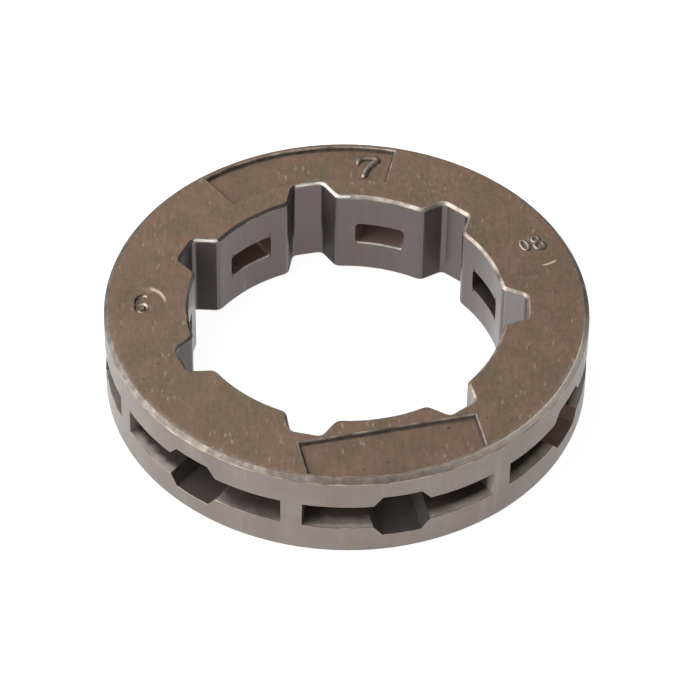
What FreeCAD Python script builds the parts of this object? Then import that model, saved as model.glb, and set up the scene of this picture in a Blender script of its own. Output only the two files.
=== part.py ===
"""Chainsaw rim sprocket: a flat ring that slides on a splined drum and drives the saw chain.

One solid. The bore has seven spline notches with flared flanks. The rim has a slot for the
drive links of the chain, closed by seven ribs that stand outside the notches. Between two ribs the
slot widens into an eight-sided pocket, and a window at the pocket's floor lets chips out into the bore.

Frame: millimetres, +Z up along the bore axis, origin at the centre of the bottom face.
A notch and a rib lie on +X, and a land with its pocket and window lies on -X.
"""
import FreeCAD
import Part
import math
import os
import Sketcher

from FreeCAD import Placement, Rotation, Vector

NODE = "rim_sprocket"
Z_AXIS = Vector(0, 0, 1)
ORIGIN = (-1, 1)
X_AXIS = -1
Y_AXIS = -2
START, END, CENTRE = range(1, 4)
CLOSE = 1e-3

# Driving sizes: alias, value in millimetres, degrees or pieces, what it sets
SIZES = [
    ("tooth_count", 7, "notches, ribs and pockets round the ring"),
    ("rim_width", 7.3, "height of the ring along its axis"),
    ("land_diameter", 22.8, "bore across the lands between the notches"),
    ("notch_depth", 1.6, "from the lands to the notch roots"),
    ("notch_root_width", 2.2, "flat at the root of a notch"),
    ("notch_flank_angle", 22.5, "flank of a notch to its centre line"),
    ("notch_root_fillet", 0.5, "round at the foot of a flank"),
    ("land_corner_round", 0.7, "round where a flank meets a land"),
    ("bore_chamfer", 0.2, "both ends of the bore and the notches"),
    ("floor_wall", 1.0, "metal between a notch root and the slot floor"),
    ("slot_depth", 3.5, "from the rim to the slot floor"),
    ("slot_width", 2.1, "height of the slot along the axis"),
    ("rib_width", 1.55, "rib between two slots"),
    ("pocket_width", 4.1, "pocket across its sides, round the rim"),
    ("pocket_flat", 2.8, "flat at the top and bottom of a pocket"),
    ("pocket_height", 3.8, "pocket along the axis"),
    ("window_width", 3.7, "window through a land, round the bore"),
    ("window_height", 1.9, "window along the axis"),
    ("rim_chamfer", 0.32, "outer edges of both faces"),
    ("panel_depth", 0.3, "sunk panels in the top face"),
    ("panel_rim_margin", 0.65, "face left between a panel and the rim"),
    ("bare_panel_width", 12.7, "straight-sided panel, across"),
    ("bare_panel_land_margin", 1.25, "face left between that panel and the land"),
    ("number_panel_span", 50.6, "curved panel, angle round the axis"),
    ("number_panel_root_margin", 0.4, "face left between that panel and the notch root"),
]

# Radii and steps that follow from the driving sizes
LAND_RADIUS = "sizes.land_diameter / 2"
ROOT_RADIUS = f"({LAND_RADIUS} + sizes.notch_depth)"
FLOOR_RADIUS = f"({ROOT_RADIUS} + sizes.floor_wall)"
RIM_RADIUS = f"({FLOOR_RADIUS} + sizes.slot_depth)"
PANEL_RADIUS = f"({RIM_RADIUS} - sizes.panel_rim_margin)"
MID_HEIGHT = "sizes.rim_width / 2"
PITCH_ANGLE = "360 deg / sizes.tooth_count"

# Where the panels lie, in pitches from the notch on +X
BARE_PANEL_PITCHES = -1.5
NUMBER_PANEL_PITCHES = 2


def make_sheet(doc):
    """Spreadsheet of the driving sizes, one alias each."""
    sheet = doc.addObject("Spreadsheet::Sheet", "sizes")
    for row, (alias, value, note) in enumerate(SIZES, start=1):
        sheet.set(f"A{row}", alias)
        sheet.set(f"B{row}", str(value))
        sheet.set(f"C{row}", note)
        sheet.setAlias(f"B{row}", alias)
    doc.recompute()
    return sheet


def origin_feature(body, role):
    return next(item for item in body.Origin.OriginFeatures if item.Role == role)


def plane_sketch(body, name, role, offset, turn=None):
    """Empty sketch on an origin plane, moved along its normal and turned about it."""
    sketch = body.newObject("Sketcher::SketchObject", name)
    sketch.AttachmentSupport = [(origin_feature(body, role), "")]
    sketch.MapMode = "FlatFace"
    sketch.AttachmentOffset = Placement(Vector(), Rotation(Z_AXIS, 1.0 if turn else 0.0))
    sketch.setExpression("AttachmentOffset.Base.z", offset)
    if turn:
        sketch.setExpression("AttachmentOffset.Rotation.Angle", turn)
    return sketch


def constrain(sketch, kind, *refs):
    sketch.addConstraint(Sketcher.Constraint(kind, *refs))


def dimension(sketch, name, expression, kind, *refs):
    """Named dimension that takes its value from the sheet."""
    index = sketch.addConstraint(Sketcher.Constraint(kind, *refs))
    sketch.renameConstraint(index, name)
    sketch.setExpression(f"Constraints.{name}", expression)


def add_loop(sketch, pieces):
    """Add the curves and tie each end to the next start; returns their indices."""
    ids = [sketch.addGeometry(curve, False) for curve, _, _ in pieces]
    for here, there in zip(range(len(pieces)), list(range(1, len(pieces))) + [0]):
        constrain(sketch, "Coincident", ids[here], pieces[here][2], ids[there], pieces[there][1])
    return ids


def segment(start, end):
    return Part.LineSegment(Vector(*start, 0), Vector(*end, 0)), START, END


def arc(radius, start_angle, end_angle, backwards=False):
    """Arc about the origin; backwards walks it from its end to its start."""
    curve = Part.ArcOfCircle(Part.Circle(Vector(), Z_AXIS, radius), start_angle, end_angle)
    return (curve, END, START) if backwards else (curve, START, END)


def draw_ring(sketch):
    """Two circles: the rim and the lands."""
    for name, radius, first_guess in (("rim", RIM_RADIUS, 20), ("land", LAND_RADIUS, 10)):
        index = sketch.addGeometry(Part.Circle(Vector(), Z_AXIS, first_guess), False)
        constrain(sketch, "Coincident", index, CENTRE, *ORIGIN)
        dimension(sketch, name, radius, "Radius", index, first_guess)


def draw_notch(sketch):
    """Symmetric trapezoid on +X that widens towards the axis and reaches into the open bore."""
    outer, inner, half_root, half_mouth = 13, 10, 1, 2
    corners = [(inner, half_mouth), (outer, half_root), (outer, -half_root), (inner, -half_mouth)]
    sides = [segment(a, b) for a, b in zip(corners, corners[1:] + corners[:1])]
    upper, root, lower, mouth = add_loop(sketch, sides)
    constrain(sketch, "Symmetric", upper, END, lower, START, X_AXIS)
    constrain(sketch, "Symmetric", upper, START, lower, END, X_AXIS)
    dimension(sketch, "root_reach", ROOT_RADIUS, "DistanceX", *ORIGIN, root, START, outer)
    root_width = "sizes.notch_root_width"
    dimension(sketch, "root_width", root_width, "DistanceY", root, END, root, START, 2 * half_root)
    bore_reach = f"{LAND_RADIUS} - sizes.notch_depth"
    dimension(sketch, "bore_reach", bore_reach, "DistanceX", *ORIGIN, mouth, END, inner)
    dimension(sketch, "flank", "-sizes.notch_flank_angle", "Angle", upper, -math.radians(20))


def draw_sector(sketch, inner_radius, outer_radius, half_angle):
    """Ring sector about +X, between two radii and two rays."""
    inner, outer, angle = 14, 18, math.radians(20)
    across, along = math.sin(angle), math.cos(angle)
    _, rim, high, floor = add_loop(sketch, [
        segment((inner * along, -inner * across), (outer * along, -outer * across)),
        arc(outer, -angle, angle),
        segment((outer * along, outer * across), (inner * along, inner * across)),
        arc(inner, -angle, angle, backwards=True),
    ])
    for curve, name, radius, guess in (
        (rim, "outer", outer_radius, outer),
        (floor, "inner", inner_radius, inner),
    ):
        constrain(sketch, "Coincident", curve, CENTRE, *ORIGIN)
        constrain(sketch, "Vertical", curve, START, curve, END)
        dimension(sketch, name, radius, "Radius", curve, guess)
    constrain(sketch, "PointOnObject", *ORIGIN, high)
    dimension(sketch, "half_angle", half_angle, "Angle", X_AXIS, START, high, END, angle)


def draw_pocket(sketch):
    """Eight-sided outline about the origin: a tall flat-topped pocket with cut corners at the slot edges."""
    flat, side, slot, height = 1.4, 2.0, 1.0, 1.9
    right = [(flat, -height), (side, -slot), (side, slot), (flat, height)]
    corners = right + [(-x, y) for x, y in reversed(right)]
    ids = add_loop(sketch, [segment(a, b) for a, b in zip(corners, corners[1:] + corners[:1])])
    side_right, top, side_left, bottom = ids[1::2]
    for line in (top, bottom):
        constrain(sketch, "Symmetric", line, START, line, END, Y_AXIS)
    for line in (side_left, side_right):
        constrain(sketch, "Symmetric", line, START, line, END, X_AXIS)
    constrain(sketch, "Symmetric", side_right, END, side_left, START, Y_AXIS)
    constrain(sketch, "Symmetric", top, START, bottom, END, X_AXIS)
    for name, expression, kind, first, second, guess in (
        ("flat", "sizes.pocket_flat", "DistanceX", (bottom, START), (bottom, END), flat),
        ("tall", "sizes.pocket_height", "DistanceY", (bottom, END), (top, START), height),
        ("wide", "sizes.pocket_width", "DistanceX", (side_left, START), (side_right, END), side),
        ("slot_edge", "sizes.slot_width", "DistanceY", (side_right, START), (side_right, END), slot),
    ):
        dimension(sketch, name, expression, kind, *first, *second, 2 * guess)


def draw_window(sketch):
    """Rectangle about the origin."""
    half_x, half_y = 1.7, 0.8
    corners = [(-half_x, -half_y), (half_x, -half_y), (half_x, half_y), (-half_x, half_y)]
    sides = [segment(a, b) for a, b in zip(corners, corners[1:] + corners[:1])]
    bottom, right, top, left = add_loop(sketch, sides)
    for line in (bottom, top):
        constrain(sketch, "Horizontal", line)
    for line in (right, left):
        constrain(sketch, "Vertical", line)
    constrain(sketch, "Symmetric", bottom, START, top, START, *ORIGIN)
    dimension(sketch, "wide", "sizes.window_width", "DistanceX", bottom, START, bottom, END, 2 * half_x)
    dimension(sketch, "tall", "sizes.window_height", "DistanceY", right, START, right, END, 2 * half_y)


def draw_bare_panel(sketch):
    """Straight inner side and straight parallel ends, with an outer side that follows the rim."""
    inner, outer, half_width = 12, 17, 6
    angle = math.asin(half_width / outer)
    rim_x = outer * math.cos(angle)
    low, rim, high, chord = add_loop(sketch, [
        segment((inner, -half_width), (rim_x, -half_width)),
        arc(outer, -angle, angle),
        segment((rim_x, half_width), (inner, half_width)),
        segment((inner, half_width), (inner, -half_width)),
    ])
    constrain(sketch, "Horizontal", low)
    constrain(sketch, "Horizontal", high)
    constrain(sketch, "Coincident", rim, CENTRE, *ORIGIN)
    constrain(sketch, "Symmetric", chord, START, chord, END, X_AXIS)
    dimension(sketch, "rim_side", PANEL_RADIUS, "Radius", rim, outer)
    land_side = f"{LAND_RADIUS} + sizes.bare_panel_land_margin"
    dimension(sketch, "land_side", land_side, "DistanceX", *ORIGIN, chord, START, inner)
    dimension(sketch, "wide", "sizes.bare_panel_width", "DistanceY", chord, END, chord, START, 2 * half_width)


def add_cut(body, name, sketch, length, both_ways=False, inwards=False):
    """Pocket of a given length; inwards turns it along the sketch's normal."""
    doc = body.Document
    doc.recompute()
    before = body.Tip.Shape.Volume
    cut = body.newObject("PartDesign::Pocket", name)
    cut.Profile = sketch
    cut.Midplane = both_ways
    cut.Reversed = inwards
    cut.setExpression("Length", length)
    body.Tip = cut
    doc.recompute()
    if cut.Shape.Volume > before - CLOSE:
        raise RuntimeError(f"{name} cuts nothing")
    return cut


def repeat_round(body, name, features):
    """The features once for each tooth, round the bore axis."""
    pattern = body.newObject("PartDesign::PolarPattern", name)
    pattern.Originals = features
    pattern.Axis = (origin_feature(body, "Z_Axis"), [""])
    pattern.Angle = 360
    pattern.setExpression("Occurrences", "sizes.tooth_count")
    body.Tip = pattern
    body.Document.recompute()
    return pattern


def edge_names(shape, wanted):
    return [f"Edge{n}" for n, edge in enumerate(shape.Edges, start=1) if wanted(edge)]


def dress(body, name, kind, wanted, size_property, size):
    """Fillet or chamfer on the edges of the tip that are wanted."""
    base = body.Tip
    feature = body.newObject(f"PartDesign::{kind}", name)
    feature.Base = (base, edge_names(base.Shape, wanted))
    feature.setExpression(size_property, size)
    body.Tip = feature
    body.Document.recompute()
    return feature


def middle(edge):
    return edge.valueAt((edge.FirstParameter + edge.LastParameter) / 2)


def from_axis(point):
    return math.hypot(point.x, point.y)


def is_upright(edge):
    ends = [vertex.Point for vertex in edge.Vertexes]
    return len(ends) == 2 and (ends[0] - ends[1]).cross(Z_AXIS).Length < CLOSE


def build_rim_sprocket(doc, sheet):
    """The ring, its bore, its rim and the two panels in its top face."""
    body = doc.addObject("PartDesign::Body", NODE)
    body.Label = NODE
    body.Placement = Placement()
    land_radius = sheet.land_diameter / 2
    root_radius = land_radius + sheet.notch_depth
    between = (land_radius + root_radius) / 2
    faces = (0, sheet.rim_width)

    def is_rim_edge(edge):
        return not is_upright(edge) and from_axis(middle(edge)) > root_radius

    def is_root_corner(edge):
        return is_upright(edge) and between < from_axis(middle(edge)) < root_radius + sheet.notch_root_width

    def is_land_corner(edge):
        return is_upright(edge) and abs(from_axis(middle(edge)) - land_radius) < CLOSE

    def is_bore_edge(edge):
        point = middle(edge)
        on_face = min(abs(point.z - height) for height in faces) < CLOSE
        return on_face and not is_upright(edge) and from_axis(point) < root_radius + CLOSE

    # The blank: a flat ring with broken rim edges
    ring = plane_sketch(body, "ring_outline", "XY_Plane", "0")
    draw_ring(ring)
    blank = body.newObject("PartDesign::Pad", "ring")
    blank.Profile = ring
    blank.setExpression("Length", "sizes.rim_width")
    body.Tip = blank
    doc.recompute()
    dress(body, "rim_edges", "Chamfer", is_rim_edge, "Size", "sizes.rim_chamfer")

    # The spline: one notch, repeated, with soft corners and a lead-in at both ends
    notch = plane_sketch(body, "notch_outline", "XY_Plane", "sizes.rim_width")
    draw_notch(notch)
    notch_cut = add_cut(body, "notch", notch, "sizes.rim_width")
    repeat_round(body, "notches", [notch_cut])
    dress(body, "notch_roots", "Fillet", is_root_corner, "Radius", "sizes.notch_root_fillet")
    dress(body, "land_corners", "Fillet", is_land_corner, "Radius", "sizes.land_corner_round")
    dress(body, "bore_ends", "Chamfer", is_bore_edge, "Size", "sizes.bore_chamfer")

    # The rim: a slot between two ribs, its pocket and the window to the bore, repeated
    slot = plane_sketch(body, "slot_outline", "XY_Plane", MID_HEIGHT, turn="180 deg")
    rib_half_angle = f"asin(sizes.rib_width / 2 / {RIM_RADIUS})"
    slot_half_angle = f"{PITCH_ANGLE} / 2 - {rib_half_angle}"
    draw_sector(slot, FLOOR_RADIUS, f"{RIM_RADIUS} + sizes.slot_depth", slot_half_angle)
    slot_cut = add_cut(body, "slot", slot, "sizes.slot_width", both_ways=True)
    pocket = plane_sketch(body, "pocket_outline", "YZ_Plane", f"-{RIM_RADIUS}")
    pocket.setExpression("AttachmentOffset.Base.y", MID_HEIGHT)
    draw_pocket(pocket)
    pocket_cut = add_cut(body, "pocket", pocket, "sizes.slot_depth", inwards=True)
    window = plane_sketch(body, "window_outline", "YZ_Plane", f"-{RIM_RADIUS}")
    window.setExpression("AttachmentOffset.Base.y", MID_HEIGHT)
    draw_window(window)
    window_cut = add_cut(body, "window", window, RIM_RADIUS, inwards=True)
    repeat_round(body, "drive_slots", [slot_cut, pocket_cut, window_cut])

    # The top face: a bare panel over a land and a curved panel round a notch
    bare = plane_sketch(body, "bare_panel_outline", "XY_Plane", "sizes.rim_width",
                        turn=f"{BARE_PANEL_PITCHES} * {PITCH_ANGLE}")
    draw_bare_panel(bare)
    add_cut(body, "bare_panel", bare, "sizes.panel_depth")
    number = plane_sketch(body, "number_panel_outline", "XY_Plane", "sizes.rim_width",
                          turn=f"{NUMBER_PANEL_PITCHES} * {PITCH_ANGLE}")
    inner_side = f"{ROOT_RADIUS} + sizes.number_panel_root_margin"
    draw_sector(number, inner_side, PANEL_RADIUS, "sizes.number_panel_span / 2")
    add_cut(body, "number_panel", number, "sizes.panel_depth")
    return body


def check(doc, body):
    """Stop before writing if a feature failed or the solid isn't whole."""
    for item in doc.Objects:
        if {"Invalid", "Error"} & set(item.State):
            raise RuntimeError(f"{item.Name} failed: {item.State}")
    shape = body.Shape
    if shape.isNull() or not shape.isValid() or len(shape.Solids) != 1:
        raise RuntimeError(f"{body.Label} isn't one valid solid")
    print(f"{body.Label}: {len(shape.Faces)} faces, {shape.Volume:.1f} mm3, {shape.optimalBoundingBox()}")


def main():
    doc = FreeCAD.newDocument("rim_sprocket_document")
    sheet = make_sheet(doc)
    body = build_rim_sprocket(doc, sheet)
    doc.recompute()
    check(doc, body)
    os.makedirs("parts", exist_ok=True)
    body.Shape.exportStep(f"parts/{body.Label}.step")


main()
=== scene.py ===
# %% [markdown]
# # A rim sprocket for a chainsaw
# The real object is one flat steel ring. It slides on a splined drum, and the slot round its rim
# pulls the chain along. The CAD model already has every main form in its right place, so this lesson
# loads it as a fixed frame and then does what a finisher does: it breaks the sharp edges, adds the
# small numbers, gives each surface its own skin, and lights the ring on a white table.

# %% Load the CAD frame
import math

import bmesh
import bpy
from mathutils import Matrix, Vector


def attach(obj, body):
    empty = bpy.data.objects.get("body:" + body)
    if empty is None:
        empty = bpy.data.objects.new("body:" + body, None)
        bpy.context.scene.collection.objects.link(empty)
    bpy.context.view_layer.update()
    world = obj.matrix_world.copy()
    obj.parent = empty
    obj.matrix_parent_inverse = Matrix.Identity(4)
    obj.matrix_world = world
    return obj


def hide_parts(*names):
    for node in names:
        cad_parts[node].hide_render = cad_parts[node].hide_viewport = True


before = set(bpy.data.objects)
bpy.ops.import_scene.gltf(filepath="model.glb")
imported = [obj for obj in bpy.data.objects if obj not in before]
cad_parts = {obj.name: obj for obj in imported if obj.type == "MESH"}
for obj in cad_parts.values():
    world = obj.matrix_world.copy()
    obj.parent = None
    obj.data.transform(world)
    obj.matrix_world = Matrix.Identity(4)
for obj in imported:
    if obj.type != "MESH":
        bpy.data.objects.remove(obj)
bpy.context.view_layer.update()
MM = 0.001
cad_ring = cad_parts["rim_sprocket"]

# %% [markdown]
# ## Camera
# The photograph looks down at about 45 degrees from far away with a long lens, so the ring shows
# almost no perspective. Its place was found by fitting the outline of the ring and the corners of the
# notches, so it is written here as a point, a view direction and a roll, and not aimed by eye.

# %% Place the camera
CAMERA_PLACE = Vector((-2.867, -207.705, 211.112)) * MM
CAMERA_TURN = math.radians(0.87)
CAMERA_ELEVATION = 0.7871
CAMERA_ROLL = 0.0172
LENS_MM = 207.84

bpy.ops.object.select_all(action="DESELECT")
bpy.ops.object.camera_add(location=CAMERA_PLACE)
camera = bpy.context.active_object
camera.name = "camera"
tilt = math.pi / 2 - CAMERA_ELEVATION
turned = Matrix.Rotation(-CAMERA_TURN, 3, "Z") @ Matrix.Rotation(tilt, 3, "X")
camera.rotation_euler = (turned @ Matrix.Rotation(CAMERA_ROLL, 3, "Z")).to_euler()
camera.data.lens = LENS_MM
camera.data.sensor_width = 36
camera.data.clip_start = 0.01
camera.data.clip_end = 10
bpy.context.scene.camera = camera
print("camera", [round(x / MM, 1) for x in camera.location], "mm, lens", LENS_MM)

# %% [markdown]
# ## Floor and light
# The ring lies on white paper in a light tent. A large plain floor does for the paper. It stays
# white where the camera or a shiny surface sees it, and it still takes the soft shadow under the rim.
# The tent is bright on the left and dim on the right, and one soft panel stands close by on the left,
# so that the near side of the ring is lighter than the far side.

# %% Lay the floor
FLOOR_SIZE = 4.0


def seen_directly(nodes, links):
    """One where the camera, a reflection or a clear body sees the surface, else nought."""
    ray = nodes.new("ShaderNodeLightPath")
    value = ray.outputs["Is Camera Ray"]
    for kind in ("Is Glossy Ray", "Is Transmission Ray"):
        most = nodes.new("ShaderNodeMath")
        most.operation = "MAXIMUM"
        links.new(value, most.inputs[0])
        links.new(ray.outputs[kind], most.inputs[1])
        value = most.outputs[0]
    return value


bpy.ops.object.select_all(action="DESELECT")
bpy.ops.mesh.primitive_plane_add(size=FLOOR_SIZE, location=(0, 0, 0))
floor = bpy.context.active_object
floor.name = "paper_floor"
paper = bpy.data.materials.new("white_paper")
paper.use_nodes = True
nodes, links = paper.node_tree.nodes, paper.node_tree.links
nodes.clear()
matte = nodes.new("ShaderNodeBsdfDiffuse")
matte.inputs["Color"].default_value = (0.4, 0.4, 0.4, 1)
glow = nodes.new("ShaderNodeEmission")
glow.inputs["Color"].default_value = (1, 1, 1, 1)
lift = nodes.new("ShaderNodeMath")
lift.operation = "MULTIPLY"
lift.inputs[1].default_value = 0.91
links.new(seen_directly(nodes, links), lift.inputs[0])
links.new(lift.outputs[0], glow.inputs["Strength"])
both = nodes.new("ShaderNodeAddShader")
links.new(matte.outputs[0], both.inputs[0])
links.new(glow.outputs[0], both.inputs[1])
surface = nodes.new("ShaderNodeOutputMaterial")
links.new(both.outputs[0], surface.inputs["Surface"])
floor.data.materials.append(paper)
print("floor", FLOOR_SIZE, "m across")

# %% Light the tent
TENT_SIDE = Vector((-0.93, -0.25, 0.27)).normalized()
world = bpy.data.worlds.new("light_tent")
bpy.context.scene.world = world
world.use_nodes = True
nodes, links = world.node_tree.nodes, world.node_tree.links
nodes.clear()
direction = nodes.new("ShaderNodeTexCoord")
side = nodes.new("ShaderNodeVectorMath")
side.operation = "DOT_PRODUCT"
side.inputs[1].default_value = TENT_SIDE
links.new(direction.outputs["Generated"], side.inputs[0])


def tent_wall(dim, bright):
    """Light that grows from the dim side of the tent to its bright side."""
    level = nodes.new("ShaderNodeMapRange")
    level.inputs["From Min"].default_value = -0.6
    level.inputs["From Max"].default_value = 0.9
    level.inputs["To Min"].default_value = dim
    level.inputs["To Max"].default_value = bright
    links.new(side.outputs["Value"], level.inputs["Value"])
    wall = nodes.new("ShaderNodeBackground")
    links.new(level.outputs["Result"], wall.inputs["Strength"])
    return wall.outputs[0]


mix = nodes.new("ShaderNodeMixShader")
links.new(seen_directly(nodes, links), mix.inputs[0])
links.new(tent_wall(0.2, 0.6), mix.inputs[1])
links.new(tent_wall(0.2, 1.0), mix.inputs[2])
out = nodes.new("ShaderNodeOutputWorld")
links.new(mix.outputs[0], out.inputs["Surface"])


def soft_panel(name, azimuth, elevation, distance, size, watts):
    """A square area lamp that faces the ring from a compass direction and a height in degrees."""
    east, up = math.radians(azimuth), math.radians(elevation)
    way = Vector((math.cos(east) * math.cos(up), math.sin(east) * math.cos(up), math.sin(up)))
    bpy.ops.object.light_add(type="AREA", location=way * distance)
    lamp = bpy.context.active_object
    lamp.name = name
    lamp.data.shape = "SQUARE"
    lamp.data.size = size
    lamp.data.energy = watts
    lamp.rotation_euler = (-way).to_track_quat("-Z", "Y").to_euler()
    print(name, "at", [round(x, 2) for x in lamp.location], "m,", watts, "W")


soft_panel("left_panel", -165, 30, 0.25, 0.26, 0.6)
soft_panel("top_panel", 150, 60, 0.32, 0.3, 0.32)
bpy.context.scene.view_settings.view_transform = "Standard"

# %% [markdown]
# ## The ring
# The real ring is pressed and hardened in one piece, and tumbling breaks all its edges. The CAD
# copy has sharp edges, so it is merged into one skin, cleared of the mesh lines in its flat faces,
# and then bevelled, because only a rounded edge catches the light.

# %% Copy the CAD skin and merge it
ring = bpy.data.objects.new("sprocket_ring", cad_ring.data.copy())
bpy.context.collection.objects.link(ring)


def only(piece):
    """Select one piece and make it the active one."""
    bpy.ops.object.select_all(action="DESELECT")
    piece.select_set(True)
    bpy.context.view_layer.objects.active = piece


only(ring)
bpy.ops.object.mode_set(mode="EDIT")
bpy.ops.mesh.select_all(action="SELECT")
bpy.ops.mesh.customdata_custom_splitnormals_clear()
bpy.ops.mesh.remove_doubles(threshold=0.001 * MM)
bpy.ops.mesh.dissolve_limited(angle_limit=math.radians(1))
bpy.ops.object.mode_set(mode="OBJECT")
print("ring:", len(ring.data.vertices), "points,", len(ring.data.polygons), "faces")

# %% [markdown]
# ### Mould marks
# Two round inserts in the press tool leave shallow dishes in the top face, one on the left and one on
# the right. Each insert sat a little askew, so its dish is deep on one side and fades out on the other.
# A blunt cone, tipped by two degrees and cut out with a Boolean, leaves just that. The left dish holds
# a small sunk six. Its strokes are round rods along smooth curves, cut out in the same way, so that
# they leave half-round grooves. The figures in the right dish are raised and come later.

# %% Sink the two dishes
TOP = 7.3 * MM
LEFT_MARK = Vector((-14.8, -0.05)) * MM
RIGHT_MARK = Vector((13.95, 6.1)) * MM
DISH_DEPTH = 0.07 * MM


def cut_out(cutter):
    """Take the cutter's shape out of the ring."""
    only(ring)
    cut = ring.modifiers.new("cut", "BOOLEAN")
    cut.operation = "DIFFERENCE"
    cut.solver = "EXACT"
    cut.use_self = True
    cut.object = cutter
    bpy.ops.object.modifier_apply(modifier="cut")
    bpy.data.objects.remove(cutter)


def sink_dish(middle, radius, deep_side, flare):
    """Cut a shallow dish that is deepest towards a compass direction in degrees."""
    tall = 0.4 * MM
    bpy.ops.object.select_all(action="DESELECT")
    bpy.ops.mesh.primitive_cone_add(vertices=96, radius1=radius, radius2=radius + flare * tall, depth=tall)
    cutter = bpy.context.active_object
    cutter.location = (*middle, TOP - DISH_DEPTH + tall / 2)
    lean = Matrix.Rotation(math.radians(deep_side), 4, "Z") @ Matrix.Rotation(math.radians(2), 4, "Y")
    cutter.rotation_euler = lean.to_euler()
    cut_out(cutter)
    print("dish at", [round(x / MM, 2) for x in middle], "mm:", len(ring.data.polygons), "faces")


sink_dish(LEFT_MARK, 1.68 * MM, 45, 1.3)
sink_dish(RIGHT_MARK, 1.68 * MM, -68, 2.0)

# %% Sink the six
def rod(name, knots, thickness, height, closed=False):
    """A round rod along a smooth line through (x, y) knots in millimetres, with round noses."""
    bpy.ops.object.select_all(action="DESELECT")
    bpy.ops.curve.primitive_bezier_curve_add()
    piece = bpy.context.active_object
    piece.name = name
    piece.data.bevel_depth = thickness / 2
    piece.data.bevel_resolution = 3
    piece.data.resolution_u = 8
    piece.data.use_fill_caps = not closed
    spline = piece.data.splines[0]
    spline.bezier_points.add(len(knots) - 2)
    spline.use_cyclic_u = closed
    for knot, (x, y) in zip(spline.bezier_points, knots):
        knot.handle_left_type = "AUTO"
        knot.handle_right_type = "AUTO"
        knot.co = (x * MM, y * MM, height)
    if not closed:
        spline.bezier_points[0].radius = 0.5
        spline.bezier_points[-1].radius = 0.5
    bpy.ops.object.convert(target="MESH")
    bpy.ops.object.transform_apply(location=True, rotation=True, scale=True)
    bpy.ops.object.mode_set(mode="EDIT")
    bpy.ops.mesh.select_all(action="SELECT")
    bpy.ops.mesh.remove_doubles(threshold=0.001 * MM)
    bpy.ops.mesh.normals_make_consistent(inside=False)
    bpy.ops.object.mode_set(mode="OBJECT")
    return bpy.context.active_object


def loop_knots(x, y, wide, tall, turn):
    """Eight knots round an upright ellipse, turned by some degrees."""
    turn = math.radians(turn)
    knots = []
    for step in range(8):
        across = wide / 2 * math.cos(step * math.pi / 4)
        upward = tall / 2 * math.sin(step * math.pi / 4)
        knots.append((x + across * math.cos(turn) - upward * math.sin(turn),
                      y + across * math.sin(turn) + upward * math.cos(turn)))
    return knots


GROOVE = 0.36 * MM
GROOVE_HEIGHT = TOP - 0.08 * MM
SIX_LOOP = loop_knots(-14.77, -0.4, 0.74, 0.84, 0)
SIX_HOOK = [(-15.14, -0.42), (-15.15, 0.24), (-14.98, 0.68), (-14.7, 0.83), (-14.42, 0.74)]
strokes = [
    rod("six_loop", SIX_LOOP, GROOVE, GROOVE_HEIGHT, closed=True),
    rod("six_hook", SIX_HOOK, GROOVE, GROOVE_HEIGHT),
]
only(strokes[0])
for stroke in strokes:
    stroke.select_set(True)
bpy.ops.object.join()
cut_out(strokes[0])
print("ring with its sunk six:", len(ring.data.polygons), "faces")

# %% [markdown]
# ### Skins
# The ring wears eleven skins. Brown oxide covers the pressed faces. The rim is ground, the bore is smooth
# and grey, and the flanks of the notches, the slots and the pockets are darker, partly from painted shade;
# the slots also carry painted light at their lips. Most edges are worn and the rim's edge is broken, and
# some edges carry a pale painted highlight. The walls of the dishes carry a painted highlight, and painted
# shade with some dirt sits in the creases.
# Each skin is built from noise in the ring's own coordinates, so that it stays put in every view.

# %% Node helpers
def fresh_material(name):
    """An empty material with a shader, an output and the ring's own coordinates in millimetres."""
    material = bpy.data.materials.new(name)
    material.use_nodes = True
    tree = material.node_tree
    tree.nodes.clear()
    shader = tree.nodes.new("ShaderNodeBsdfPrincipled")
    output = tree.nodes.new("ShaderNodeOutputMaterial")
    tree.links.new(shader.outputs["BSDF"], output.inputs["Surface"])
    place = tree.nodes.new("ShaderNodeTexCoord")
    scale = tree.nodes.new("ShaderNodeMapping")
    scale.inputs["Scale"].default_value = (1 / MM, 1 / MM, 1 / MM)
    tree.links.new(place.outputs["Object"], scale.inputs["Vector"])
    return material, tree, shader, scale.outputs["Vector"]


def noise(tree, vector, scale, detail=3.0, stretch=None):
    """Noise value, with so many grains in a millimetre, perhaps stretched along an axis."""
    if stretch:
        mapping = tree.nodes.new("ShaderNodeMapping")
        mapping.inputs["Scale"].default_value = stretch
        tree.links.new(vector, mapping.inputs["Vector"])
        vector = mapping.outputs["Vector"]
    texture = tree.nodes.new("ShaderNodeTexNoise")
    texture.inputs["Scale"].default_value = scale
    texture.inputs["Detail"].default_value = detail
    tree.links.new(vector, texture.inputs["Vector"])
    return texture.outputs["Fac"]


def radius_of(tree, vector):
    """Distance from the axis of the ring in millimetres."""
    flat = tree.nodes.new("ShaderNodeVectorMath")
    flat.operation = "MULTIPLY"
    flat.inputs[1].default_value = (1, 1, 0)
    tree.links.new(vector, flat.inputs[0])
    length = tree.nodes.new("ShaderNodeVectorMath")
    length.operation = "LENGTH"
    tree.links.new(flat.outputs["Vector"], length.inputs[0])
    return length.outputs["Value"]


def along(tree, vector, axis):
    """One coordinate of the ring's own axes in millimetres."""
    node = tree.nodes.new("ShaderNodeSeparateXYZ")
    tree.links.new(vector, node.inputs["Vector"])
    return node.outputs[axis]


def grey(level):
    return (level, level, level)


def between(tree, value, low, high, start=0.0, end=1.0):
    """A value that goes from start to end while another goes from low to high."""
    node = tree.nodes.new("ShaderNodeMapRange")
    node.inputs["From Min"].default_value = low
    node.inputs["From Max"].default_value = high
    node.inputs["To Min"].default_value = start
    node.inputs["To Max"].default_value = end
    tree.links.new(value, node.inputs["Value"])
    return node.outputs["Result"]


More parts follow.
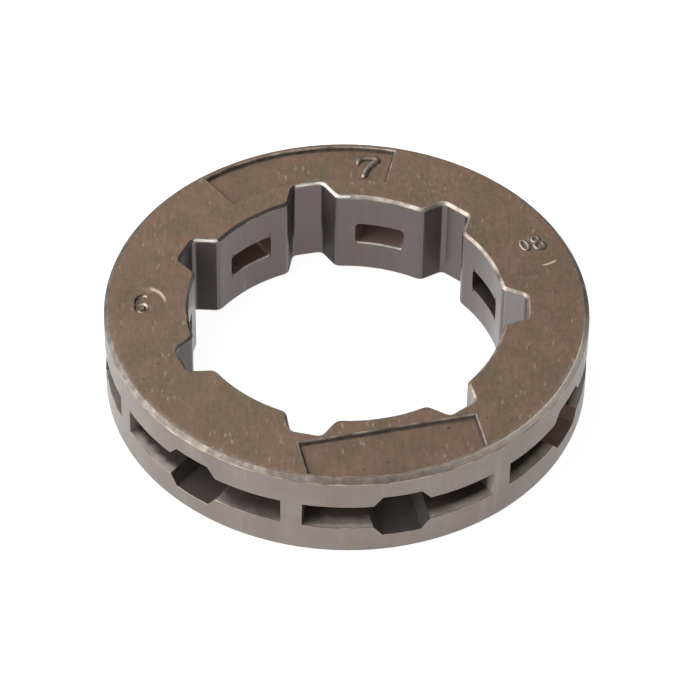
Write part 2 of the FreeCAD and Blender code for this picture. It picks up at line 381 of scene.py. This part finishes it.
def ramp(tree, value, *stops):
    """Colour ramp over (position, colour) stops."""
    node = tree.nodes.new("ShaderNodeValToRGB")
    while len(node.color_ramp.elements) < len(stops):
        node.color_ramp.elements.new(0.5)
    for element, (position, colour) in zip(node.color_ramp.elements, stops):
        element.position = position
        element.color = (*colour, 1)
    tree.links.new(value, node.inputs["Fac"])
    return node.outputs["Color"]


def blend(tree, kind, share, below, above):
    """Blend of two colours; the share is a number or varies over the surface."""
    node = tree.nodes.new("ShaderNodeMix")
    node.data_type = "RGBA"
    node.blend_type = kind
    if isinstance(share, float):
        node.inputs["Factor"].default_value = share
    else:
        tree.links.new(share, node.inputs["Factor"])
    for side, colour in (("A", below), ("B", above)):
        if isinstance(colour, tuple):
            node.inputs[side].default_value = (*colour, 1)
        else:
            tree.links.new(colour, node.inputs[side])
    return node.outputs["Result"]


def times(tree, first, second):
    """Product of two values."""
    node = tree.nodes.new("ShaderNodeMath")
    node.operation = "MULTIPLY"
    tree.links.new(first, node.inputs[0])
    tree.links.new(second, node.inputs[1])
    return node.outputs["Value"]


def plus(tree, first, second):
    """Sum of two values."""
    node = tree.nodes.new("ShaderNodeMath")
    tree.links.new(first, node.inputs[0])
    tree.links.new(second, node.inputs[1])
    return node.outputs["Value"]


def bump(tree, shader, *reliefs):
    """Relief from (height value, depth in millimetres) pairs, laid one on the other."""
    normal = None
    for value, depth in reliefs:
        node = tree.nodes.new("ShaderNodeBump")
        node.inputs["Distance"].default_value = depth * MM
        tree.links.new(value, node.inputs["Height"])
        if normal:
            tree.links.new(normal, node.inputs["Normal"])
        normal = node.outputs["Normal"]
    tree.links.new(normal, shader.inputs["Normal"])


# %% [markdown]
# #### Brown oxide
# Hardening leaves a brown skin on the pressed faces. It is cloudy, lightly brushed one way, scratched in
# patches and a little pitted, so the colour is laid on in that order from noise of different grain.

# %% Brown oxide on the pressed faces
oxide, tree, shader, mm = fresh_material("brown_oxide")
shader.inputs["Metallic"].default_value = 0.55
cloud = noise(tree, mm, 0.45, 4)
grain = noise(tree, mm, 3.2, 3, stretch=(1.2, 0.7, 1))
tone = ramp(tree, cloud, (0.38, (0.21, 0.153, 0.101)), (0.5, (0.234, 0.158, 0.108)),
            (0.62, (0.256, 0.162, 0.116)))
mottle = ramp(tree, grain, (0.3, grey(0.88)), (0.5, grey(1.0)), (0.7, grey(1.1)))
skin = blend(tree, "MULTIPLY", 1.0, tone, mottle)
# Fine brush lines, all one way
brushed = noise(tree, mm, 1.4, 3, stretch=(3.5, 0.25, 1))
skin = blend(tree, "MULTIPLY", 1.0, skin, ramp(tree, brushed, (0.35, grey(0.96)), (0.65, grey(1.04))))
# Short bright scratches, in patches
scratch = between(tree, noise(tree, mm, 0.8, 2, stretch=(5, 1.5, 1)), 0.61, 0.72)
patch = between(tree, noise(tree, mm, 0.25, 2), 0.42, 0.6, 0.03, 0.7)
skin = blend(tree, "MIX", times(tree, scratch, patch), skin, (0.47, 0.39, 0.31))
# Small dark pits
pit = between(tree, noise(tree, mm, 1.9, 1), 0.245, 0.2)
skin = blend(tree, "MIX", pit, skin, (0.12, 0.085, 0.065))
# A worn border along the front half of the rim
border = between(tree, radius_of(tree, mm), 16.8, 17.2)
chafed = between(tree, noise(tree, mm, 1.3, 4), 0.4, 0.62, 0.1, 0.9)
front = between(tree, along(tree, mm, "Y"), 1.0, -7.0)
skin = blend(tree, "MIX", times(tree, times(tree, border, chafed), front), skin, (0.4, 0.335, 0.275))
# Painted light and shade: a little paler towards the back, and painted shade darkens the sunk panels
pale = ramp(tree, between(tree, along(tree, mm, "Y"), 4.0, 14.0), (0.0, grey(0.92)), (1.0, grey(1.0)))
skin = blend(tree, "MULTIPLY", 1.0, blend(tree, "MULTIPLY", 1.0, skin, grey(1.1)), pale)
panel_shade = ramp(tree, between(tree, along(tree, mm, "Z"), 7.05, 7.2), (0.0, grey(0.92)), (1.0, grey(1.0)))
skin = blend(tree, "MULTIPLY", 1.0, skin, panel_shade)
tree.links.new(skin, shader.inputs["Base Color"])
tree.links.new(between(tree, grain, 0.3, 0.7, 0.46, 0.62), shader.inputs["Roughness"])
bump(tree, shader, (grain, 0.012), (cloud, 0.05))

# %% [markdown]
# #### Ground rim
# The rim is ground to size last, which bares the steel. Noise drawn out along the axis gives it
# faint upright streaks, in the colour and in the polish alike.

# %% Ground steel on the rim
ground, tree, shader, mm = fresh_material("ground_rim")
shader.inputs["Metallic"].default_value = 0.85
cloud = noise(tree, mm, 0.3, 4)
streak = noise(tree, mm, 1.6, 4, stretch=(1, 1, 0.07))
tone = ramp(tree, cloud, (0.35, (0.245, 0.207, 0.19)), (0.65, (0.275, 0.24, 0.224)))
lines = ramp(tree, streak, (0.35, grey(0.93)), (0.6, grey(1.0)), (0.75, grey(1.18)))
tree.links.new(blend(tree, "MULTIPLY", 1.0, tone, lines), shader.inputs["Base Color"])
tree.links.new(between(tree, streak, 0.3, 0.7, 0.36, 0.46), shader.inputs["Roughness"])
bump(tree, shader, (streak, 0.003), (noise(tree, mm, 5, 2), 0.004))

# %% [markdown]
# #### Bore
# The bore slides on the drum, so it is smooth and mirrors the white paper. Fine lines along the axis
# stand for the marks that the tool leaves.

# %% Smooth grey in the bore
bore, tree, shader, mm = fresh_material("bore_grey")
shader.inputs["Metallic"].default_value = 0.85
cloud = noise(tree, mm, 0.35, 3)
tone = ramp(tree, cloud, (0.35, (0.142, 0.116, 0.113)), (0.65, (0.15, 0.129, 0.126)))
broach = noise(tree, mm, 3.0, 2, stretch=(1, 1, 0.05))
lines = ramp(tree, broach, (0.3, grey(0.97)), (0.7, grey(1.03)))
tree.links.new(blend(tree, "MULTIPLY", 1.0, tone, lines), shader.inputs["Base Color"])
tree.links.new(between(tree, cloud, 0.3, 0.7, 0.24, 0.32), shader.inputs["Roughness"])
bump(tree, shader, (broach, 0.001))

# %% [markdown]
# #### Flanks of the notches
# The flanks keep a dark, dull skin that hardly mirrors anything, made darker still with painted shade.
# Painted light makes it lighter towards the front, so the colour goes over from one to the other along the
# ring's Y axis.

# %% Dark skin, painted shade and painted light on the flanks of the notches
flank_skin, tree, shader, mm = fresh_material("flank_oxide_painted_light_and_shade")
shader.inputs["Metallic"].default_value = 0.2
shader.inputs["Specular IOR Level"].default_value = 0.25
cloud = noise(tree, mm, 0.6, 3)
tone = ramp(tree, cloud, (0.35, (0.12, 0.1, 0.096)), (0.65, (0.14, 0.12, 0.116)))
# Painted light: the flanks towards the front are lighter
back = between(tree, along(tree, mm, "Y"), 1.5, 4.5)
tone = blend(tree, "MIX", back, (0.36, 0.33, 0.32), tone)
# Painted shadow, darkest in the notch just left of the middle
off_middle = between(tree, along(tree, mm, "X"), -6.5, -5.0)
near_middle = times(tree, off_middle, between(tree, along(tree, mm, "X"), 1.5, 0.0, 0.0, 0.4))
tree.links.new(blend(tree, "MIX", near_middle, tone, (0.02, 0.014, 0.012)), shader.inputs["Base Color"])
tree.links.new(between(tree, cloud, 0.3, 0.7, 0.48, 0.6), shader.inputs["Roughness"])
bump(tree, shader, (noise(tree, mm, 4, 3), 0.008))

# %% [markdown]
# #### Slots
# The slots are dull oxide with painted light and shade: painted shade deep inside and painted light at the
# lips, stronger on some sides than on others. The colour therefore follows the distance from the axis, with
# a ragged border, and each side has a ramp of its own. The windows at the foot of the slots carry painted
# light and shade as well.

# %% Dull oxide in the slots, with painted shade deep inside and painted light at the lips
slot_skin, tree, shader, mm = fresh_material("slot_oxide_painted_light_and_shade")
shader.inputs["Metallic"].default_value = 0.2
cloud = noise(tree, mm, 1.1, 4)
ragged = plus(tree, radius_of(tree, mm), between(tree, noise(tree, mm, 1.6, 3), 0.3, 0.7, -0.12, 0.12))
ragged = plus(tree, ragged, between(tree, noise(tree, mm, 0.2, 1), 0.35, 0.65, -0.2, 0.2))
ragged = plus(tree, ragged, between(tree, along(tree, mm, "X"), -9.0, -12.0, 0.0, -0.3))
depth = between(tree, ragged, 11.5, 17.5)
# Painted shade deep in the slot, painted light towards the lip
tone = ramp(tree, depth, (0.84, (0.14, 0.112, 0.103)), (0.9, (0.15, 0.128, 0.118)),
            (0.945, (0.19, 0.163, 0.152)), (0.985, (0.28, 0.24, 0.228)))
# Painted light: brighter lips towards the front
front_lip = ramp(tree, depth, (0.82, (0.15, 0.12, 0.11)), (0.89, (0.32, 0.28, 0.258)),
                 (0.96, (0.42, 0.37, 0.342)), (0.985, (0.62, 0.555, 0.515)))
tone = blend(tree, "MIX", between(tree, along(tree, mm, "X"), -3.5, -1.5), tone, front_lip)
# Painted light: brighter still at the lips on the right
even_depth = between(tree, radius_of(tree, mm), 11.5, 17.5)
right_lip = ramp(tree, even_depth, (0.86, (0.08, 0.064, 0.057)), (0.91, (0.5, 0.44, 0.384)),
                 (0.97, (0.8, 0.71, 0.62)))
tone = blend(tree, "MIX", between(tree, along(tree, mm, "X"), 4.5, 8.5), tone, right_lip)
# Painted light: bright lips on the far left, which face the lamp
lit_lip = ramp(tree, depth, (0.77, (0.12, 0.096, 0.088)), (0.84, (0.46, 0.41, 0.385)),
               (0.98, (0.6, 0.54, 0.51)))
tone = blend(tree, "MIX", between(tree, along(tree, mm, "X"), -8.0, -10.5), tone, lit_lip)
mottle = ramp(tree, cloud, (0.35, grey(0.85)), (0.65, grey(1.1)))
tone = blend(tree, "MULTIPLY", 1.0, tone, mottle)
# Painted shadow: darker deep inside on the left, and all through at the far left
deep = between(tree, ragged, 16.7, 16.2)
left = times(tree, deep, between(tree, along(tree, mm, "X"), -2.0, -7.0, 0.0, 0.4))
tone = blend(tree, "MIX", left, tone, (0.012, 0.01, 0.01))
far_left = between(tree, along(tree, mm, "X"), -14.6, -15.6, 0.0, 0.65)
tone = blend(tree, "MIX", far_left, tone, (0.03, 0.028, 0.03))
# Painted light and shade in the windows: lit brown in the middle, darker brown on the left, nearly black on
# the right
on_the_left = between(tree, along(tree, mm, "X"), -2.0, -5.0)
window_light_and_shade = blend(tree, "MIX", on_the_left, (0.28, 0.178, 0.162), (0.22, 0.14, 0.118))
window_light_and_shade = blend(tree, "MIX", between(tree, along(tree, mm, "X"), 5.5, 8.5), window_light_and_shade, (0.05, 0.038, 0.036))
window = between(tree, radius_of(tree, mm), 14.3, 13.9)
tone = blend(tree, "MIX", window, tone, window_light_and_shade)
tree.links.new(tone, shader.inputs["Base Color"])
tree.links.new(between(tree, cloud, 0.3, 0.7, 0.42, 0.58), shader.inputs["Roughness"])
bump(tree, shader, (noise(tree, mm, 4, 3), 0.012))

# %% [markdown]
# #### Pockets
# No link rubs the walls of the pockets, so they stay dull. Painted shade makes them darker towards their
# mouths, and the tone also changes by place: darker in the left pocket, lighter and redder in the right
# one.

# %% Dark oxide in the pockets
pocket_skin, tree, shader, mm = fresh_material("pocket_oxide_and_painted_shade")
shader.inputs["Metallic"].default_value = 0.2
shader.inputs["Specular IOR Level"].default_value = 0.3
cloud = noise(tree, mm, 0.8, 4)
tone = ramp(tree, cloud, (0.35, (0.18, 0.159, 0.155)), (0.65, (0.23, 0.206, 0.201)))
# Painted shade at the mouths; darker in the left pocket, and lighter and redder in the right one
mouth = between(tree, radius_of(tree, mm), 14.5, 17.3, 0.0, 0.45)
tone = blend(tree, "MIX", mouth, tone, (0.03, 0.026, 0.026))
tone = blend(tree, "MIX", between(tree, along(tree, mm, "X"), -3.0, -8.0), tone, (0.085, 0.07, 0.068))
tone = blend(tree, "MIX", between(tree, along(tree, mm, "X"), 8.0, 13.0), tone, (0.34, 0.23, 0.2))
tree.links.new(tone, shader.inputs["Base Color"])
tree.links.new(between(tree, cloud, 0.3, 0.7, 0.5, 0.65), shader.inputs["Roughness"])
bump(tree, shader, (noise(tree, mm, 4, 3), 0.012))

# %% [markdown]
# #### Worn edges
# Tumbling and use bare the steel along the edges, and flecks of brown stay in it. Bright metal with brown
# noise shows both. The same skin is a painted highlight on the walls of the six's grooves that face the
# light.

# %% Bright steel on worn edges
wear_and_highlight, tree, shader, mm = fresh_material("wear_and_highlight_edge")
shader.inputs["Metallic"].default_value = 0.9
fleck = noise(tree, mm, 0.9, 5)
tone = ramp(tree, fleck, (0.36, (0.2, 0.155, 0.125)), (0.5, (0.34, 0.285, 0.245)),
            (0.66, (0.52, 0.46, 0.4)))
tree.links.new(tone, shader.inputs["Base Color"])
tree.links.new(between(tree, fleck, 0.3, 0.7, 0.38, 0.5), shader.inputs["Roughness"])
bump(tree, shader, (noise(tree, mm, 3, 3), 0.02))

# %% [markdown]
# #### Painted highlights on edges
# Two sorts of edge carry a painted highlight in a colour near white: the sills of the back windows, and the
# edges at the back left of the bore that face the front. They are narrow, so they need a pale colour.

# %% Painted highlight on the sills and at the back left of the bore
painted_highlight, tree, shader, mm = fresh_material("painted_highlight_edge")
shader.inputs["Metallic"].default_value = 0.1
fleck = noise(tree, mm, 1.4, 4)
tone = ramp(tree, fleck, (0.34, (0.62, 0.55, 0.48)), (0.48, (0.88, 0.82, 0.75)), (0.66, (0.95, 0.92, 0.87)))
tree.links.new(tone, shader.inputs["Base Color"])
tree.links.new(between(tree, fleck, 0.3, 0.7, 0.35, 0.5), shader.inputs["Roughness"])
bump(tree, shader, (noise(tree, mm, 3, 3), 0.02))

# %% [markdown]
# #### Edge of the rim
# The chain chips the edge of the rim, so its wear is broken. A pale painted highlight lies on it on the
# right and painted shade along the back, and two ramps over the place on the ring bring these together.

# %% Broken wear on the edge of the rim, with a painted highlight on the right and painted shade along the back
rim_edge, tree, shader, mm = fresh_material("rim_edge")
shader.inputs["Specular Tint"].default_value = (0.35, 0.33, 0.31, 1)
tree.links.new(between(tree, along(tree, mm, "X"), 4.0, 14.0, 0.6, 0.15), shader.inputs["Metallic"])
fleck = noise(tree, mm, 1.1, 8)
tone = ramp(tree, fleck, (0.4, (0.2, 0.165, 0.14)), (0.52, (0.25, 0.21, 0.181)),
            (0.64, (0.32, 0.274, 0.236)))
# Painted highlight: pale on the right
pale = ramp(tree, fleck, (0.36, (0.74, 0.65, 0.55)), (0.68, (0.9, 0.81, 0.7)))
tone = blend(tree, "MIX", between(tree, along(tree, mm, "X"), 4.0, 14.0), tone, pale)
# Painted shade: dark along the back
front = between(tree, along(tree, mm, "Y"), 0.5, -5.0)
back_shade = ramp(tree, fleck, (0.36, (0.12, 0.1, 0.084)), (0.68, (0.2, 0.172, 0.15)))
tree.links.new(blend(tree, "MIX", front, back_shade, tone), shader.inputs["Base Color"])
tree.links.new(between(tree, fleck, 0.3, 0.7, 0.62, 0.45), shader.inputs["Roughness"])
bump(tree, shader, (noise(tree, mm, 2.2, 4), 0.05))

# %% [markdown]
# #### Walls of the dishes
# A dish has a real wall only on its deep side, and that wall carries a painted highlight, a pale arc that
# fades at both ends. The fade comes from how squarely a point lies on the deep side of its mark.

# %% Walls of the dishes, with a painted highlight where a dish is deep
def towards(tree, vector, mark, turn):
    """One straight on one side of a mark, and less away from that side."""
    way = (math.cos(math.radians(turn)), math.sin(math.radians(turn)), 0)
    steps = (("SUBTRACT", (mark.x / MM, mark.y / MM, 0)), ("MULTIPLY", (1, 1, 0)), ("NORMALIZE", None))
    for operation, value in steps:
        node = tree.nodes.new("ShaderNodeVectorMath")
        node.operation = operation
        tree.links.new(vector, node.inputs[0])
        if value:
            node.inputs[1].default_value = value
        vector = node.outputs["Vector"]
    compare = tree.nodes.new("ShaderNodeVectorMath")
    compare.operation = "DOT_PRODUCT"
    tree.links.new(vector, compare.inputs[0])
    compare.inputs[1].default_value = way
    return compare.outputs["Value"]


dish_wall, tree, shader, mm = fresh_material("dish_wall")
shader.inputs["Metallic"].default_value = 0.5
on_the_left = between(tree, along(tree, mm, "X"), 1.0, -1.0)
on_the_right = between(tree, along(tree, mm, "X"), -1.0, 1.0)
left_arc = times(tree, on_the_left, between(tree, towards(tree, mm, LEFT_MARK, 40), 0.82, 0.97))
right_arc = times(tree, on_the_right, between(tree, towards(tree, mm, RIGHT_MARK, -62), 0.93, 0.985))
painted_glint = plus(tree, left_arc, right_arc)
tone = blend(tree, "MIX", painted_glint, (0.23, 0.156, 0.107), (0.74, 0.57, 0.46))
tree.links.new(tone, shader.inputs["Base Color"])
shader.inputs["Roughness"].default_value = 0.5
bump(tree, shader, (noise(tree, mm, 3, 3), 0.012))

# %% [markdown]
# #### Painted shade and dirt
# Painted shade, with some dirt, darkens the feet of the panels, the grooves of the six on the side turned
# from the light, and the strips beside the raised figures. A dull, nearly black brown is enough, because
# only thin lines of it show.

# %% Painted shade and dirt in the creases
shade_and_dirt, tree, shader, mm = fresh_material("crease_shade_and_dirt")
shader.inputs["Metallic"].default_value = 0.2
cloud = noise(tree, mm, 1.5, 3)
tone = ramp(tree, cloud, (0.35, (0.05, 0.036, 0.028)), (0.65, (0.11, 0.08, 0.062)))
tree.links.new(tone, shader.inputs["Base Color"])
tree.links.new(between(tree, cloud, 0.3, 0.7, 0.6, 0.8), shader.inputs["Roughness"])
bump(tree, shader, (noise(tree, mm, 4, 3), 0.015))

# %% [markdown]
# ### Which face wears which skin
# Each face is told by its place and its direction. Faces that look up or down are pressed faces or the
# slot's ledges, the outermost upright faces are the rim, those that look at the axis are the bore, and the
# rest is slot or pocket. The slanted bands at both ends of the rim have the broken edge. Those of the bore
# are worn, except on the back left, where those that face the front get a painted highlight and the rest
# painted shade. The dishes have walls of their own, and the grooves of the six get a painted highlight on
# the walls that face the light and painted shade on the others.

# %% Give the faces their skins
SKINS = [oxide, ground, bore, flank_skin, slot_skin, pocket_skin, wear_and_highlight, painted_highlight, rim_edge, dish_wall, shade_and_dirt]
OXIDE, GROUND, BORE, FLANK, SLOT, POCKET, WEAR_AND_HIGHLIGHT, PAINTED_HIGHLIGHT, RIM_EDGE, DISH_WALL, SHADE_AND_DIRT = range(len(SKINS))
RIM_RADIUS = 17.5 * MM
ROOT_RADIUS = 13.0 * MM
PANEL_FLOOR = 7.0 * MM
LOW_BAND, HIGH_BAND = 0.4 * MM, 6.95 * MM
FIGURE_REACH, DISH_REACH = 1.45 * MM, 2.4 * MM
SLOT_FLOOR = 13.9 * MM
POCKET_HALF = 2.06 * MM
PITCH = 2 * math.pi / 7
LIT_SIDE = Vector((-0.25, -0.97, 0))
FRONT_SIDE = Vector((-0.35, -0.94, 0))


def to_a_mark(point):
    """Distance to the nearer mould mark."""
    flat = Vector((point.x, point.y))
    return min((flat - LEFT_MARK).length, (flat - RIGHT_MARK).length)


def in_a_pocket(point):
    """Whether a point lies in a pocket of the rim, by its distance from the middle of the nearest land."""
    angle = math.atan2(point.y, point.x) + math.pi
    off = (angle + PITCH / 2) % PITCH - PITCH / 2
    radius = math.hypot(point.x, point.y)
    return radius > SLOT_FLOOR and abs(radius * math.sin(off)) < POCKET_HALF


def on_the_back_left(point):
    """Whether a point lies in the part of the bore that is turned away from the light."""
    return 90 < math.degrees(math.atan2(point.y, point.x)) < 175


def skin_of(face):
    """Which skin a face wears, from its middle and its normal."""
    middle, normal = face.center, face.normal
    out = Vector((middle.x, middle.y, 0))
    facing = normal.dot(out.normalized()) if out.length else 0
    if middle.z > HIGH_BAND and to_a_mark(middle) < FIGURE_REACH:
        if normal.z > 0.97:
            return OXIDE
        # Painted highlight on groove walls that face the light, painted shade on the rest
        return WEAR_AND_HIGHLIGHT if normal.dot(LIT_SIDE) > 0.25 else SHADE_AND_DIRT
    if middle.z > HIGH_BAND and to_a_mark(middle) < DISH_REACH:
        return DISH_WALL if normal.z < 0.95 else OXIDE
    if middle.z < LOW_BAND or middle.z > HIGH_BAND:
        if not 0.3 < abs(normal.z) < 0.95:
            return OXIDE
        if out.length > RIM_RADIUS - 0.5 * MM:
            return RIM_EDGE
        if on_the_back_left(middle):
            # Painted highlight on back-left bore edges that face the front, painted shade on the rest
            return PAINTED_HIGHLIGHT if normal.dot(FRONT_SIDE) > 0.5 else FLANK
        return WEAR_AND_HIGHLIGHT
    if out.length > RIM_RADIUS - 0.1 * MM and facing > 0.9:
        return GROUND
    if out.length < ROOT_RADIUS + 0.1 * MM and facing < -0.15:
        return FLANK if facing > -0.7 else BORE
    return POCKET if in_a_pocket(middle) else SLOT


ring.data.materials.clear()
for skin in SKINS:
    ring.data.materials.append(skin)
for face in ring.data.polygons:
    face.material_index = skin_of(face)
counts = [sum(face.material_index == n for face in ring.data.polygons) for n in range(len(SKINS))]
print("faces by skin:", dict(zip([skin.name for skin in SKINS], counts)))

# %% [markdown]
# ### Soft edges
# The edges are rounded in six goes, each with its own width. The panels were pressed, so their lips and
# feet are soft; the feet carry painted shade, and lips turned from the light keep the oxide colour. The
# inner lip of the back panel comes close to the root of a notch, so the lips are kept narrow, or the two
# bevels would fold over each other. The windows have round corners, and the sills of the two back ones are
# rounded with a painted highlight. The edges of the rim and the other outer corners are only tumbled.

# %% Round the edges
SHARP = math.radians(35)
SQUARE = math.radians(80)
MID_HEIGHT = 3.65 * MM
SILL_HEIGHT = 2.7 * MM
WINDOW_MOUTH = 11.6 * MM


def middle_of(edge):
    return (edge.verts[0].co + edge.verts[1].co) / 2


def radius_at(point):
    return math.hypot(point.x, point.y)


def is_sharp(edge):
    middle = middle_of(edge)
    inside_the_rim = radius_at(middle) < RIM_RADIUS - 0.4 * MM
    in_a_mark = middle.z > HIGH_BAND and to_a_mark(middle) < 2.0 * MM and inside_the_rim
    return edge.is_manifold and edge.calc_face_angle() > SHARP and not in_a_mark


def is_panel_lip(edge):
    high = middle_of(edge).z > TOP - 0.01 * MM
    return is_sharp(edge) and edge.is_convex and high and edge.calc_face_angle() > SQUARE


def on_a_shaded_lip(point):
    """Whether a point lies on the inner lip or the left lip of the back panel, which are turned from the
    light.
    """
    turn = math.degrees(math.atan2(point.y, point.x))
    outside_the_bore = radius_at(point) > ROOT_RADIUS + 0.25 * MM
    inner_or_left = radius_at(point) < ROOT_RADIUS + 0.7 * MM or turn > 127
    return point.y > 5 * MM and point.z > PANEL_FLOOR and outside_the_bore and inner_or_left


def is_panel_foot(edge):
    low = abs(middle_of(edge).z - PANEL_FLOOR) < 0.01 * MM
    return is_sharp(edge) and not edge.is_convex and low


def is_window_corner(edge):
    middle = middle_of(edge)
    inside = WINDOW_MOUTH < radius_at(middle) < 13.6 * MM
    return is_sharp(edge) and not edge.is_convex and inside and abs(middle.z - MID_HEIGHT) < 1.0 * MM


def is_sill(edge):
    middle = middle_of(edge)
    at_the_land = radius_at(middle) < WINDOW_MOUTH and middle.y > 8 * MM
    return is_sharp(edge) and at_the_land and abs(middle.z - SILL_HEIGHT) < 0.02 * MM


def on_a_face(edge):
    height = middle_of(edge).z
    return height < LOW_BAND or height > PANEL_FLOOR + 0.05 * MM


def is_rim_edge(edge):
    at_the_rim = radius_at(middle_of(edge)) > RIM_RADIUS - 0.5 * MM
    return is_sharp(edge) and edge.is_convex and at_the_rim and on_a_face(edge)


def is_tumbled(edge):
    middle = middle_of(edge)
    in_front = any(face.normal.dot(FRONT_SIDE) > 0.5 for face in edge.link_faces)
    shaded = on_the_back_left(middle) and radius_at(middle) < ROOT_RADIUS + 0.3 * MM and not in_front
    reached = on_a_face(edge) or radius_at(middle) > RIM_RADIUS - 0.3 * MM
    return is_sharp(edge) and edge.is_convex and reached and not shaded


def round_edges(wanted, width, segments, skin):
    """Bevel the edges that are wanted, in one go."""
    bpy.ops.object.mode_set(mode="EDIT")
    bpy.ops.mesh.select_mode(type="EDGE")
    bpy.ops.mesh.select_all(action="DESELECT")
    shell = bmesh.from_edit_mesh(ring.data)
    for edge in shell.edges:
        edge.select_set(wanted(edge))
    found = sum(edge.select for edge in shell.edges)
    bmesh.update_edit_mesh(ring.data)
    bpy.ops.mesh.bevel(offset=width, segments=segments, affect="EDGES", clamp_overlap=False, material=skin)
    bpy.ops.object.mode_set(mode="OBJECT")
    print(wanted.__name__, found, "edges rounded by", round(width / MM, 2), "mm")


only(ring)
# Painted shade in the feet of the panels
round_edges(is_panel_foot, 0.15 * MM, 2, SHADE_AND_DIRT)
round_edges(is_panel_lip, 0.11 * MM, 3, WEAR_AND_HIGHLIGHT)
# Painted shade: lips turned from the light keep the oxide colour, so only the lit lips show the bright wear
for face in ring.data.polygons:
    if face.material_index == WEAR_AND_HIGHLIGHT and on_a_shaded_lip(face.center):
        face.material_index = OXIDE
round_edges(is_window_corner, 0.35 * MM, 4, SLOT)
# The back sills get the painted highlight
round_edges(is_sill, 0.1 * MM, 2, PAINTED_HIGHLIGHT)
round_edges(is_rim_edge, 0.05 * MM, 2, RIM_EDGE)
round_edges(is_tumbled, 0.05 * MM, 2, WEAR_AND_HIGHLIGHT)
bpy.ops.object.shade_smooth_by_angle(angle=math.radians(40))
shading = ring.modifiers.new("flat_faces", "WEIGHTED_NORMAL")
shading.keep_sharp = True
bpy.ops.object.modifier_apply(modifier="flat_faces")
print("ring:", len(ring.data.vertices), "points,", len(ring.data.polygons), "faces")

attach(ring, "root")
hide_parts("rim_sprocket")

# %% [markdown]
# ### The tooth count
# A raised seven stands in the back panel and says how many chain links go round the rim. The press
# tool gives it a round back, so it is one bent rod, half sunk in the floor of the panel.

# %% Stand the seven up
SEVEN = [(0.82, 15.12), (0.94, 15.62), (1.12, 15.82), (1.6, 15.86), (2.12, 15.84), (2.3, 15.72),
         (1.98, 15.3), (1.62, 14.8), (1.4, 14.3), (1.3, 13.9), (1.28, 13.72)]
seven = rod("tooth_count", SEVEN, 0.42 * MM, PANEL_FLOOR + 0.03 * MM)
only(seven)
bpy.ops.object.shade_smooth_by_angle(angle=math.radians(50))
seven.data.materials.append(wear_and_highlight)
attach(seven, "root")
print("tooth count:", len(seven.data.polygons), "faces")

# %% [markdown]
# ### Painted shadow beside the seven
# A painted shadow, with some dirt in the crease, lies on the right of the strokes, the side turned from the
# light. A second rod along the same line, shifted a little and sunk deeper, shows as a dark crease there.

# %% Painted shadow beside the seven
crease = rod("crease", [(x + 0.12, y - 0.05) for x, y in SEVEN], 0.42 * MM, PANEL_FLOOR - 0.12 * MM)
only(crease)
bpy.ops.object.shade_smooth_by_angle(angle=math.radians(50))
crease.data.materials.append(shade_and_dirt)
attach(crease, "root")
print("crease:", len(crease.data.polygons), "faces")

# %% [markdown]
# ### The raised mould number
# A nought and an eight stand in the right dish. They are closed loops of round rod, so they need no ends,
# and the eight is one loop on another. Each loop has a dark crease beside it, a painted shadow on the side
# turned from the light, as the seven has.
# Their backs stay just under the top face, because nothing may stand above it.

# %% Stand the nought and the eight up
NOUGHT = loop_knots(13.0, 6.42, 0.5, 1.0, 24)
EIGHT_TOP = loop_knots(13.8, 7.04, 0.52, 0.56, 24)
EIGHT_FOOT = loop_knots(14.1, 6.44, 0.68, 0.7, 24)


def raised_loop(name, knots, skin, thickness, top):
    """A closed loop of rod whose back just reaches a height, in one skin."""
    digit = rod(name, knots, thickness, top - thickness / 2, closed=True)
    only(digit)
    bpy.ops.object.shade_smooth_by_angle(angle=math.radians(50))
    digit.data.materials.append(skin)
    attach(digit, "root")
    print(name, len(digit.data.polygons), "faces")


for name, knots in (("nought", NOUGHT), ("eight_top", EIGHT_TOP), ("eight_foot", EIGHT_FOOT)):
    # Painted shadow: a dark loop shifted to the side turned from the light
    shaded = [(x + 0.12, y - 0.06) for x, y in knots]
    raised_loop(name, knots, wear_and_highlight, 0.34 * MM, TOP - 0.003 * MM)
    raised_loop(name + "_crease", shaded, shade_and_dirt, 0.42 * MM, TOP - 0.02 * MM)
